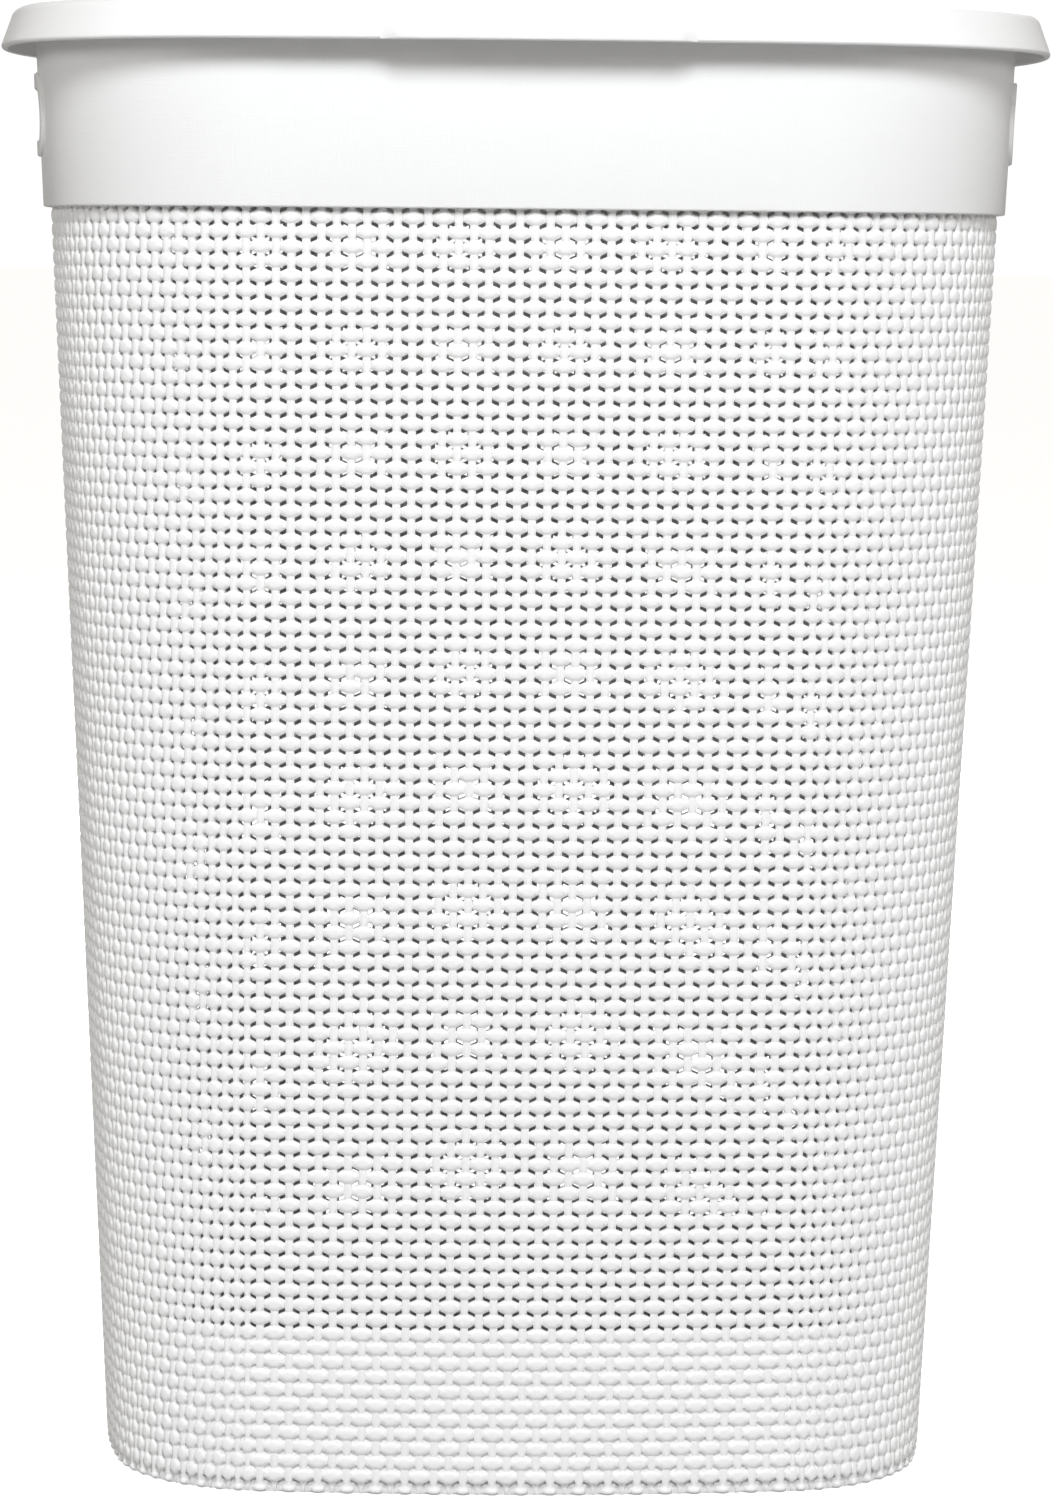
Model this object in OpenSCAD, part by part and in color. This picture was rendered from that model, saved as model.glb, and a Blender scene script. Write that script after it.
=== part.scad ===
// Laundry hamper with a hinged lid: a tall, tapered bin with woven walls.
// Millimetres. +Z is up, the front faces -Y, and the origin is the middle of
// the footprint on the floor.
//
// Every level of the hamper has the same plan: a rounded rectangle made of
// tangent arcs, a shallow one for each of the four faces and a tight one for
// each corner. A wall is a section, a list of (outward offset, height), that is
// carried round those arcs. The offset is measured from the plan at the floor.

/* [Overall] */
// Width of the woven wall at the floor, left to right
base_w = 342; // [260:1:420]
// Depth of the woven wall at the floor, front to back
base_d = 242; // [200:2:300]
// Height of the closed hamper
total_h = 598; // [480:1:720]
// Outward lean of every wall, in degrees
wall_lean = 3; // [2.4:0.05:3.6]

/* [Plan] */
// Radius of the shallow bow of the front and back faces at the floor
front_bow_r = 900; // [740:10:1100]
// Radius of the shallow bow of the two side faces at the floor
side_bow_r = 300; // [245:5:370]
// Radius of the corners at the floor
corner_r = 66; // [55:1:80]

// Flat steps along each shallow bow
bow_steps = 8; // [6:1:12]
// Flat steps round each corner
corner_steps = 10; // [8:1:14]

/* [Woven wall] */
// Thickness of the weave
weave_t = 3.2; // [2.6:0.1:4]
// Height of the inner ledge that carries the base tray
ledge_z = 5; // [4:0.5:7]
// Thickness of that ledge
ledge_t = 2.4; // [1.8:0.1:3]
// How far that ledge reaches in from the weave
ledge_reach = 8; // [6:0.5:10]

/* [Base tray] */
// Thickness of the tray's floor
tray_floor_t = 2.4; // [1.8:0.1:3]
// Thickness of the tray's upstand
tray_wall_t = 1.6; // [1.2:0.1:2.2]
// Height of the tray, which backs the lowest rows of the weave
tray_h = 58.5; // [48:0.5:72]
// Gap between the upstand and the inside of the weave
tray_gap = 0.3; // [0.2:0.05:0.5]

/* [Rim collar] */
// Height of the smooth band round the top
collar_h = 79; // [64:1:96]
// How far the band stands proud of the weave
collar_proud = 3; // [2.6:0.1:3.6]
// Thickness of the band
collar_t = 2.6; // [2.2:0.1:3]
// How far the band laps down over the woven wall
collar_lap = 15; // [12:0.5:18]
// Thickness of the inner hem that traps the woven wall's top edge
hem_t = 1.8; // [1.4:0.1:2.2]
// Gap between the woven wall and the hem
hem_gap = 0.3; // [0.2:0.05:0.5]
// Thickness of the shoulder that sits on the woven wall
shoulder_t = 3; // [2.4:0.1:3.8]
// Width of the rolled edge along the band's top
rim_w = 5; // [4:0.1:6]
// Height of that rolled edge
rim_t = 4; // [3:0.1:5]

/* [Hand holes] */
// Length of each hand hole, front to back
hand_len = 104; // [86:1:125]
// Height of each hand hole
hand_h = 21; // [17:0.5:26]
// Height of the hand hole's middle above the band's lower edge
hand_rise = 38; // [34:0.5:42]
// Thickness of the surround's sleeve, which lines the hole
sleeve_t = 1.6; // [1.2:0.1:2]
// Width of the surround's flange, outside the sleeve
flange_w = 4.9; // [4:0.1:6]
// How far that flange stands proud of the band
flange_proud = 1.5; // [1.2:0.1:2]
// How far the sleeve runs on inside the band
sleeve_reach = 1.2; // [0.8:0.1:2]
// Gap between the sleeve and the hole in the band
sleeve_gap = 0.1; // [0.05:0.05:0.2]

/* [Lid] */
// How far the lid's lower edge stands out from the band
lid_overhang = 13.7; // [12:0.1:16]
// Thickness of the lid
lid_t = 2; // [1.6:0.1:2.4]
// Height of the lid's skirt
skirt_h = 16.2; // [13.5:0.1:19.5]
// How far the skirt flares out from top to bottom
skirt_flare = 4; // [3:0.1:5]
// Radius of the lid's top edge
edge_r = 4; // [3:0.1:5]
// Radius of the bead along the skirt's lower edge
bead_r = 1.3; // [1.1:0.1:1.6]
// Rise of the raised panel in the middle of the lid
panel_rise = 1.6; // [1:0.1:1.9]
// Distance from the lid's lower edge in to the raised panel
panel_inset = 28; // [24:0.5:34]
// Width of the slope up to the raised panel
panel_slope = 6; // [5:0.5:7]
// Gap between the lid's underside and the band's top edge
lid_gap = 0.4; // [0.3:0.05:0.6]
// Depth of the rib that centres the lid inside the band
rib_h = 7; // [5:0.5:9]
// Thickness of that rib
rib_t = 1.6; // [1.2:0.1:2]
// Gap between the rib and the inside of the band
rib_gap = 1; // [0.8:0.1:1.4]

/* [Finger pull] */
// Width of the finger pull, across its bevelled ends
pull_w = 123; // [102:1:148]
// Height of the finger pull
pull_h = 4.6; // [3.8:0.1:5.5]
// How far the finger pull stands out from the lid's lower edge
pull_out = 4; // [3:0.1:5]
// Length of the bevel at each end of the pull
pull_bevel = 6; // [5:0.5:8]

/* [Hinge] */
// Distance between the middles of the two hinges
hinge_spread = 140; // [116:1:168]
// Radius of the hinge pins
pin_r = 2; // [1.7:0.1:2.4]
// Radial running clearance between a pin and the lid's knuckle
pin_clear = 0.05; // [0.03:0.01:0.1]
// Wall of the knuckles and ears round the pin
barrel_wall = 2.5; // [2.1:0.1:3]
// Distance from a barrel to the band in front of it
barrel_gap = 1; // [0.8:0.1:1.4]
// Height of the pin's axis below the lid's underside
axis_drop = 8.4; // [7.6:0.1:9.4]
// Width of each knuckle on the lid
knuckle_w = 20; // [17:0.5:24]
// Width of each ear on the band
ear_w = 6; // [5:0.5:7]
// Side gap between a knuckle and an ear
side_gap = 0.5; // [0.3:0.05:0.7]
// Radius of the pin's head
head_r = 3.4; // [3:0.1:4]
// Thickness of the pin's head
head_t = 1.6; // [1.3:0.1:2]
// Width of the stretch where the rear skirt is cut short for the hinges
notch_w = 224; // [200:2:240]
// Height of the short rear skirt that is left there
short_skirt_h = 5.2; // [4.4:0.1:5.6]

/* [Hidden] */
$fn = 180;

// Colours: one white plastic, a shade apart where the pieces meet.
weave_colour = [0.94, 0.94, 0.93];
smooth_colour = [0.96, 0.96, 0.95];
inner_colour = [0.88, 0.88, 0.87];
pin_colour = [0.80, 0.80, 0.80];

// Plan at the floor. The corner arc is tangent to both bows, so its middle is
// where a circle about each bow's middle meets the other.
half_w = base_w / 2;
half_d = base_d / 2;
front_mid = [0, front_bow_r - half_d];
side_mid = [half_w - side_bow_r, 0];
front_reach = front_bow_r - corner_r;
side_reach = side_bow_r - corner_r;
mid_gap = norm(side_mid - front_mid);
along = (front_reach^2 - side_reach^2 + mid_gap^2) / (2 * mid_gap);
across = sqrt(front_reach^2 - along^2);
axis_dir = (side_mid - front_mid) / mid_gap;
corner_mid = front_mid + along * axis_dir + across * [-axis_dir.y, axis_dir.x];
front_half_angle = atan2(corner_mid.x, front_mid.y - corner_mid.y);
side_half_angle = atan2(-corner_mid.y, corner_mid.x - side_mid.x);

// Stations round the plan, counter-clockwise from above: [arc's middle, its
// radius, direction from that middle]
function arc_stations(mid, r, from, to, steps) =
    [for (i = [0:steps - 1]) [mid, r, from + (to - from) * i / steps]];
half_plan = concat(
    arc_stations(front_mid, front_bow_r, -90 - front_half_angle, -90 + front_half_angle, bow_steps),
    arc_stations(corner_mid, corner_r, -90 + front_half_angle, -side_half_angle, corner_steps),
    arc_stations(side_mid, side_bow_r, -side_half_angle, side_half_angle, bow_steps),
    arc_stations([corner_mid.x, -corner_mid.y], corner_r, side_half_angle, 90 - front_half_angle,
                 corner_steps));
stations = concat(half_plan, [for (s = half_plan) [-s[0], s[1], s[2] + 180]]);
function plan_point(s, offset) = s[0] + (s[1] + offset) * [cos(s[2]), sin(s[2])];

// Heights, worked down from the lid's top and up from the floor
margin_z = total_h - panel_rise;
lid_under_z = margin_z - lid_t;
collar_top_z = lid_under_z - lid_gap;
collar_z = collar_top_z - collar_h;
shell_top_z = collar_z + collar_lap;
tray_z = ledge_z + ledge_t;
tray_top_z = tray_z + tray_h;
hand_z = collar_z + hand_rise;
skirt_z = margin_z - skirt_h;
short_skirt_z = margin_z - short_skirt_h;
pin_z = lid_under_z - axis_drop;

// Offsets
slope = tan(wall_lean);
function lean(z) = z * slope;
collar_in = collar_proud - collar_t;
lid_edge = lean(collar_top_z) + collar_proud + lid_overhang;
barrel_r = pin_r + barrel_wall;

// Rear face of the band at a hinge, and the pin's axis behind it
hinge_x = hinge_spread / 2;
function rear_y(x, offset) = sqrt((front_bow_r + offset)^2 - x^2) - front_mid.y;
hinge_in_x = hinge_x - knuckle_w / 2 - side_gap - ear_w;
pin_y = rear_y(hinge_in_x, lean(collar_top_z) + collar_proud) + barrel_gap + barrel_r;
band_y = rear_y(hinge_x, lean(pin_z) + collar_proud - collar_t / 2);
hinge_w = knuckle_w + 2 * (side_gap + ear_w);

// A section point whose offset follows the lean of the walls
function leaned(offset, z) = [lean(z) + offset, z];

// A wall section between offsets a and b, from height z0 to z1
function leaning(a, b, z0, z1) = [leaned(a, z0), leaned(b, z0), leaned(b, z1), leaned(a, z1)];

// A plain section, with upright sides
function upright(a, b, z0, z1) = [[a, z0], [b, z0], [b, z1], [a, z1]];

// Points of an arc, both ends included
function arc(mid, r, from, to, steps) =
    [for (i = [0:steps]) mid + r * [cos(from + (to - from) * i / steps), sin(from + (to - from) * i / steps)]];

// A section, its points counter-clockwise, carried right round the plan
module carried_round(section) {
    n = len(section);
    m = len(stations);
    polyhedron(
        points = [for (s = stations, q = section) [each plan_point(s, q[0]), q[1]]],
        faces = [for (i = [0:m - 1], j = [0:n - 1])
            [i * n + j, i * n + (j + 1) % n, ((i + 1) % m) * n + (j + 1) % n, ((i + 1) % m) * n + j]],
        convexity = 6);
}

// Flat plate filling the plan out to an offset
module flat_plate(offset, z, t)
    translate([0, 0, z]) linear_extrude(t) polygon([for (s = stations) plan_point(s, offset)]);

// Upright bar with rounded ends that crosses one side wall, for its hand hole
module hand_bar(side, grow) {
    h = hand_h + 2 * grow;
    straight = hand_len - hand_h;
    translate([side * (half_w + lean(hand_z)), 0, hand_z]) rotate([0, 90, 0]) {
        translate([-h / 2, -straight / 2, -hand_len / 2]) cube([h, straight, hand_len]);
        for (end = [-1, 1]) translate([0, end * straight / 2, -hand_len / 2]) cylinder(d = h, h = hand_len);
    }
}

// Horizontal cylinder along X from x0, at the hinge axis
module at_axis(x0, r, w)
    translate([x0, pin_y, pin_z]) rotate([0, 90, 0]) cylinder(r = r, h = w);

// A (Y, Z) outline drawn out along X from x0
module across_x(x0, w, points)
    translate([x0, 0, 0]) rotate([90, 0, 90]) linear_extrude(w) polygon(points);

// Woven wall, with a ledge inside it that carries the base tray
module woven_shell() {
    inside = -weave_t;
    ledge = inside - ledge_reach;
    color(weave_colour) carried_round([
        leaned(inside, 0), leaned(0, 0), leaned(0, shell_top_z), leaned(inside, shell_top_z),
        leaned(inside, tray_z), leaned(ledge, tray_z), leaned(ledge, ledge_z), leaned(inside, ledge_z)]);
}

// Dish that closes the bottom and backs the lowest rows of the weave
module base_tray() {
    outer = -weave_t - tray_gap;
    color(inner_colour) {
        carried_round(leaning(outer - tray_wall_t, outer, tray_z, tray_top_z));
        flat_plate(lean(tray_z) + outer - tray_wall_t / 2, tray_z, tray_floor_t);
    }
}

// One pair of ears at a hinge, with the web that joins them to the band
module hinge_ears(x) {
    web_top = barrel_r - 0.6;
    for (end = [-1, 1]) {
        x0 = x + end * (hinge_w - ear_w) / 2 - ear_w / 2;
        at_axis(x0, barrel_r, ear_w);
        across_x(x0, ear_w, [[band_y, pin_z - 3 * barrel_r], [pin_y + barrel_r / 2, pin_z - web_top],
                             [pin_y + barrel_r / 2, pin_z], [pin_y, pin_z + web_top],
                             [band_y, pin_z + web_top]]);
    }
}

// Smooth band: a skin that laps over the weave, a shoulder that sits on it, an
// inner hem that traps it, a rolled top edge, and the ears of both hinges
module rim_collar() {
    hem = -weave_t - hem_gap;
    shoulder_z = shell_top_z + shoulder_t;
    rim_z = collar_top_z - rim_t;
    skin = [leaned(collar_in, collar_z), leaned(collar_proud, collar_z), leaned(collar_proud, collar_top_z)];
    roll = [leaned(collar_proud - rim_w, collar_top_z), leaned(collar_proud - rim_w, rim_z),
            leaned(collar_in, rim_z - rim_w + collar_t)];
    shoulder = [leaned(collar_in, shoulder_z), leaned(hem - hem_t, shoulder_z)];
    channel = [leaned(hem - hem_t, collar_z), leaned(hem, collar_z), leaned(hem, shell_top_z),
               leaned(collar_in, shell_top_z)];
    color(smooth_colour) difference() {
        union() {
            carried_round(concat(skin, roll, shoulder, channel));
            for (side = [-1, 1]) hinge_ears(side * hinge_x);
        }
        for (side = [-1, 1]) {
            hand_bar(side, sleeve_t + sleeve_gap);
            at_axis(side * hinge_x - hinge_w / 2 - 1, pin_r, hinge_w + 2);
        }
    }
}

// Lining of a hand hole: a sleeve through the band and a flange outside it
module handle_surround(side) {
    span = hand_h + 2 * (sleeve_t + flange_w);
    z0 = hand_z - span;
    z1 = hand_z + span;
    color(smooth_colour) difference() {
        union() {
            intersection() {
                carried_round(leaning(collar_in - sleeve_reach, collar_proud + flange_proud / 2, z0, z1));
                hand_bar(side, sleeve_t);
            }
            intersection() {
                carried_round(leaning(collar_proud, collar_proud + flange_proud, z0, z1));
                hand_bar(side, sleeve_t + flange_w);
            }
        }
        hand_bar(side, 0);
    }
}

module handle_surround_left() handle_surround(-1);
module handle_surround_right() handle_surround(1);

// Section of the lid: up the outside from the lower edge to the raised panel,
// then back down the inside
panel_edge = lid_edge - panel_inset - panel_slope;
corner_turn = [lid_edge - skirt_flare - edge_r, margin_z - edge_r];
lid_outer = concat(
    arc([lid_edge - bead_r, skirt_z + bead_r], bead_r, -90, 20, 4),
    arc(corner_turn, edge_r, 12, 90, 5),
    [[lid_edge - panel_inset, margin_z], [panel_edge, total_h], [panel_edge - panel_slope, total_h]]);
lid_inner = concat(
    [[panel_edge - panel_slope, total_h - lid_t], [panel_edge, total_h - lid_t],
     [lid_edge - panel_inset, lid_under_z]],
    arc(corner_turn, edge_r - lid_t, 90, 12, 3),
    [[lid_edge - 2 * bead_r, skirt_z + 2 * bead_r], [lid_edge - 2 * bead_r, skirt_z]]);

// Ledge under the front edge that fingers lift, its ends bevelled
module finger_pull() {
    half = pull_w / 2;
    end_y = -rear_y(half, lid_edge);
    intersection() {
        carried_round(upright(lid_edge - 1.5 * bead_r, lid_edge + pull_out, skirt_z, skirt_z + pull_h));
        linear_extrude(total_h) polygon([[-half, end_y / 2], [-half, end_y],
            [pull_bevel - half, end_y - pull_out], [pull_bevel - half, end_y - 3 * pull_out],
            [half - pull_bevel, end_y - 3 * pull_out], [half - pull_bevel, end_y - pull_out],
            [half, end_y], [half, end_y / 2]]);
    }
}

// Knuckle that hangs from the lid between two ears
module knuckle(x) {
    x0 = x - knuckle_w / 2;
    web = barrel_r - 0.6;
    at_axis(x0, barrel_r, knuckle_w);
    across_x(x0, knuckle_w, [[pin_y - web, pin_z], [pin_y + web, pin_z], [pin_y + web, lid_under_z + lid_t / 2],
                             [pin_y - web, lid_under_z + lid_t / 2]]);
}

// Rib inside the band, left out along the back so that the lid can turn
module centring_rib() {
    outer = lean(collar_top_z) + collar_proud - rim_w - rib_gap;
    stop_y = half_d - corner_r;
    intersection() {
        carried_round(upright(outer - rib_t, outer, lid_under_z - rib_h, lid_under_z + lid_t / 2));
        translate([-base_w, stop_y - 2 * base_d, 0]) cube([2 * base_w, 2 * base_d, total_h]);
    }
}

module lid_shell() {
    color(smooth_colour) difference() {
        union() {
            difference() {
                carried_round(concat(lid_outer, lid_inner));
                translate([-notch_w / 2, half_d, skirt_z - 1])
                    cube([notch_w, base_d, short_skirt_z - skirt_z + 1]);
            }
            flat_plate(panel_edge - panel_slope / 2, total_h - lid_t, lid_t);
            finger_pull();
            centring_rib();
            for (side = [-1, 1]) knuckle(side * hinge_x);
        }
        for (side = [-1, 1])
            at_axis(side * hinge_x - knuckle_w / 2 - 1, pin_r + pin_clear, knuckle_w + 2);
    }
}

// Pin with its head at the end nearer the hamper's side
module hinge_pin(side) {
    x_head = side > 0 ? hinge_x + hinge_w / 2 : -hinge_x - hinge_w / 2 - head_t;
    color(pin_colour) {
        at_axis(side * hinge_x - hinge_w / 2, pin_r, hinge_w);
        at_axis(x_head, head_r, head_t);
    }
}

module hinge_pin_left() hinge_pin(-1);
module hinge_pin_right() hinge_pin(1);

woven_shell();
base_tray();
rim_collar();
handle_surround_left();
handle_surround_right();
lid_shell();
hinge_pin_left();
hinge_pin_right();
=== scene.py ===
import math

import bpy
import numpy as np
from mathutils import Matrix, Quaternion, Vector


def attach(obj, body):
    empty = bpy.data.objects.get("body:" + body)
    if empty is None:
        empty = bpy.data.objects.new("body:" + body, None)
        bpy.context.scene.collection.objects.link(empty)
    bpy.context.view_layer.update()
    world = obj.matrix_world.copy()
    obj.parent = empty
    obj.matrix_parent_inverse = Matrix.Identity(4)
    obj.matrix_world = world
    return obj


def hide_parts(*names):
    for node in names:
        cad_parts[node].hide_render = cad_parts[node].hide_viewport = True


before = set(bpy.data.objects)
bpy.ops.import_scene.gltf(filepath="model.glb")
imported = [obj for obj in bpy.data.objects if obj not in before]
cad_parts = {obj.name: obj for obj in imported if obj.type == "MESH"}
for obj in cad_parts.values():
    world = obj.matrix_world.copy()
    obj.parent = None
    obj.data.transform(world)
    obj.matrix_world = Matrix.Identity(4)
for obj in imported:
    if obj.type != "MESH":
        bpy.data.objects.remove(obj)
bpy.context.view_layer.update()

# Sizes are in millimetres and are turned into metres as each mesh is made.
MM = 0.001

# Overall, and the plan at the floor: tangent arcs, a shallow bow for each face
# and a tight one for each corner. Every wall leans outward from it.
TOTAL_H, BASE_W, BASE_D = 598, 342, 242
FRONT_BOW_R, SIDE_BOW_R, CORNER_R = 900, 300, 66
SLOPE = math.tan(math.radians(3))

# Lid
PANEL_RISE, PANEL_INSET, PANEL_SLOPE = 1.6, 28, 6
LID_T, LID_GAP, LID_OVERHANG = 2, 0.4, 13.7
SKIRT_H, SHORT_SKIRT_H, SKIRT_FLARE, EDGE_R, BEAD_R = 16.2, 5.2, 4, 4, 1.3
RIB_H, RIB_T, RIB_GAP = 7, 1.6, 1
RIB_COLUMNS = (-61, 98)     # the rib runs round the front between these, clear of the back
PULL_W, PULL_H, PULL_OUT, PULL_BEVEL = 123, 4.6, 4, 6
NOTCH_W = 224
MARGIN_Z = TOTAL_H - PANEL_RISE
LID_UNDER_Z = MARGIN_Z - LID_T
SKIRT_Z, SHORT_SKIRT_Z = MARGIN_Z - SKIRT_H, MARGIN_Z - SHORT_SKIRT_H

# Band and hand holes
BAND_H, BAND_LAP, BAND_PROUD, BAND_T = 79, 15, 3, 2.6
HEM_T, HEM_GAP, SHOULDER_T, RIM_W, RIM_T = 1.8, 0.3, 3, 5, 4
HAND_RISE, HAND_LEN, HAND_H = 38, 104, 21
SLEEVE_T, SLEEVE_GAP, SLEEVE_REACH, FLANGE_W, FLANGE_PROUD = 1.6, 0.1, 1.2, 4.9, 1.5
HAND_BAR_X = (150, 230)     # the bar that cuts a hand hole runs between these, through the side wall
BAND_TOP_Z = LID_UNDER_Z - LID_GAP
BAND_Z = BAND_TOP_Z - BAND_H
HAND_Z = BAND_Z + HAND_RISE
LID_EDGE = BAND_TOP_Z * SLOPE + BAND_PROUD + LID_OVERHANG

# Weave: one column for each upright stake, and a bean over every other one.
COLUMNS = np.array([37, 20, 23, 20, 37, 20, 23, 20])   # in each arc, from the front arc round
N_COLUMNS = int(COLUMNS.sum())
N_ROWS = 90
FIRST_ROW_Z, ROW_PITCH = 4.2, 5.795
CELL_W = 5.9                # the pitch that the weave's tables are drawn for
CLOSED_ROWS = 11            # the lowest rows have no through holes
WEAVE_T = 3.2
SHELL_TOP_Z = BAND_Z + BAND_LAP

# Tray and the ledge under it
LEDGE_Z, LEDGE_T, LEDGE_REACH, LEDGE_SINK = 5, 2.4, 8, 0.2
TRAY_H, TRAY_FLOOR_T, TRAY_WALL_T, TRAY_GAP = 58.5, 2.4, 1.6, 0.3
TRAY_Z = LEDGE_Z + LEDGE_T
TRAY_TOP_Z = TRAY_Z + TRAY_H

# Hinge
HINGE_X, AXIS_DROP, BARREL_GAP = 70, 8.4, 1
PIN_R, PIN_CLEAR, BARREL_R, KNUCKLE_W, EAR_W, SIDE_GAP = 2, 0.05, 4.5, 20, 6, 0.5
WEB = BARREL_R - 0.6        # half thickness of the webs that carry the barrels


# ---------------------------------------------------------------- plan

def plan_arcs():
    """The eight arcs, counter-clockwise from the front: rows of (middle x, middle y, radius, from, to)."""
    front = np.array([0, FRONT_BOW_R - BASE_D / 2])
    side = np.array([BASE_W / 2 - SIDE_BOW_R, 0])
    reach_f, reach_s = FRONT_BOW_R - CORNER_R, SIDE_BOW_R - CORNER_R
    gap = np.linalg.norm(side - front)
    axis = (side - front) / gap
    along = (reach_f ** 2 - reach_s ** 2 + gap ** 2) / (2 * gap)
    across = math.sqrt(reach_f ** 2 - along ** 2)
    corner = front + along * axis + across * np.array([-axis[1], axis[0]])
    f = math.atan2(corner[0], front[1] - corner[1])
    s = math.atan2(-corner[1], corner[0] - side[0])
    quarter = math.pi / 2
    half = [
        (*front, FRONT_BOW_R, -quarter - f, -quarter + f),
        (*corner, CORNER_R, -quarter + f, -s),
        (*side, SIDE_BOW_R, -s, s),
        (corner[0], -corner[1], CORNER_R, s, quarter - f),
    ]
    back = [(-x, -y, r, a + math.pi, b + math.pi) for x, y, r, a, b in half]
    return np.array(half + back)


ARCS = plan_arcs()
ARC_ENDS = np.cumsum(COLUMNS)
STATIONS = np.arange(0, N_COLUMNS, 0.5)     # where the smooth pieces have a section, two to a column


def arc_of(s):
    """Which arc a place round the plan is on, and how far along it, 0 to 1. Places are counted in columns."""
    s = np.mod(s, N_COLUMNS)
    arc = np.searchsorted(ARC_ENDS, s, side="right")
    return arc, (s - (ARC_ENDS - COLUMNS)[arc]) / COLUMNS[arc]


def wall_points(s, offset, z):
    """Points in metres: s is the place round the plan, offset is outward from the plan at the floor."""
    arc, t = arc_of(s)
    mx, my, r, a, b = np.moveaxis(ARCS[arc], -1, 0)
    angle = a + (b - a) * t
    return MM * np.stack([mx + (r + offset) * np.cos(angle), my + (r + offset) * np.sin(angle),
                          np.broadcast_to(z, angle.shape)], axis=-1)


def column_pitch(s, z):
    """Width of one column there, in millimetres."""
    arc, _ = arc_of(s)
    _, _, r, a, b = np.moveaxis(ARCS[arc], -1, 0)
    return (r + z * SLOPE) * (b - a) / COLUMNS[arc]


def side_x(y, offset):
    """How far out the right-hand wall is at a given y, in millimetres."""
    mx, _, r, _, _ = ARCS[2]
    return mx + np.sqrt((r + offset) ** 2 - y ** 2)


def rear_y(x, offset):
    """How far back the rear wall is at a given x, in millimetres."""
    return math.sqrt((FRONT_BOW_R + offset) ** 2 - x ** 2) - FRONT_BOW_R + BASE_D / 2


# The hinge's axis, just behind the band, and where the ears meet the band
PIN_Z = LID_UNDER_Z - AXIS_DROP
PIN_Y = BARREL_GAP + BARREL_R + rear_y(HINGE_X - KNUCKLE_W / 2 - SIDE_GAP - EAR_W,
                                       BAND_TOP_Z * SLOPE + BAND_PROUD)
EAR_FRONT_Y = rear_y(HINGE_X, PIN_Z * SLOPE + BAND_PROUD - BAND_T / 2)


# ---------------------------------------------------------------- meshes

def mesh_object(name, points, faces, sharp_deg=35, uv=None):
    """An object from points in metres and faces, smooth but for edges sharper than sharp_deg."""
    mesh = bpy.data.meshes.new(name)
    if isinstance(faces, np.ndarray):
        n, size = faces.shape
        mesh.vertices.add(len(points))
        mesh.vertices.foreach_set("co", points.astype(np.float32).ravel())
        mesh.loops.add(n * size)
        mesh.loops.foreach_set("vertex_index", faces.astype(np.int32).ravel())
        mesh.polygons.add(n)
        mesh.polygons.foreach_set("loop_start", np.arange(0, n * size, size, dtype=np.int32))
        mesh.update(calc_edges=True)
    else:
        mesh.from_pydata([tuple(p) for p in points], [], faces)
    mesh.polygons.foreach_set("use_smooth", np.ones(len(mesh.polygons), bool))
    mesh.set_sharp_from_angle(angle=math.radians(sharp_deg))
    if uv is not None:
        mesh.uv_layers.new(name="OFBake").data.foreach_set("uv", uv.astype(np.float32).ravel())
    mesh.validate()
    obj = bpy.data.objects.new(name, mesh)
    bpy.context.scene.collection.objects.link(obj)
    return obj


def carried_round(name, section, stations=None, caps=False):
    """A section, (offset, z) counter-clockwise, carried round the plan. caps fills an open run's two ends."""
    whole = stations is None
    if whole:
        stations = STATIONS
    section = np.array(section, float)
    n, m = len(section), len(stations)
    s = np.repeat(stations, n)
    off, z = np.tile(section[:, 0], m), np.tile(section[:, 1], m)
    points = wall_points(s, off, z)
    i = np.arange(m if whole else m - 1)[:, None] * n
    j = np.arange(n)[None, :]
    k, nxt = (j + 1) % n, (i + n) % (m * n)
    faces = np.stack([i + j, i + k, nxt + k, nxt + j], axis=-1).reshape(-1, 4)[:, ::-1]
    if not caps:
        return mesh_object(name, points, faces)
    faces = [tuple(f) for f in faces] + [tuple(range(n)), tuple(range(m * n - 1, m * n - n - 1, -1))]
    return mesh_object(name, points, faces)


def leaned(offset, z):
    return (z * SLOPE + offset, z)


def arc(mid, r, start, end, steps):
    """Points of an arc, both ends included, its angles in degrees."""
    turn = np.radians(np.linspace(start, end, steps + 1))
    return [(mid[0] + r * math.cos(a), mid[1] + r * math.sin(a)) for a in turn]


def combine(base, others, how):
    """Joins others to base, or cuts them from it, and removes them."""
    for other in others:
        mod = base.modifiers.new("combine", "BOOLEAN")
        mod.operation, mod.solver, mod.object = how, "EXACT", other
    graph = bpy.context.evaluated_depsgraph_get()
    made = bpy.data.meshes.new_from_object(base.evaluated_get(graph))
    base.modifiers.clear()
    base.data = made
    made.polygons.foreach_set("use_smooth", np.ones(len(made.polygons), bool))
    made.set_sharp_from_angle(angle=math.radians(35))
    for other in others:
        bpy.data.objects.remove(other)
    return base


# ---------------------------------------------------------------- weave

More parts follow.
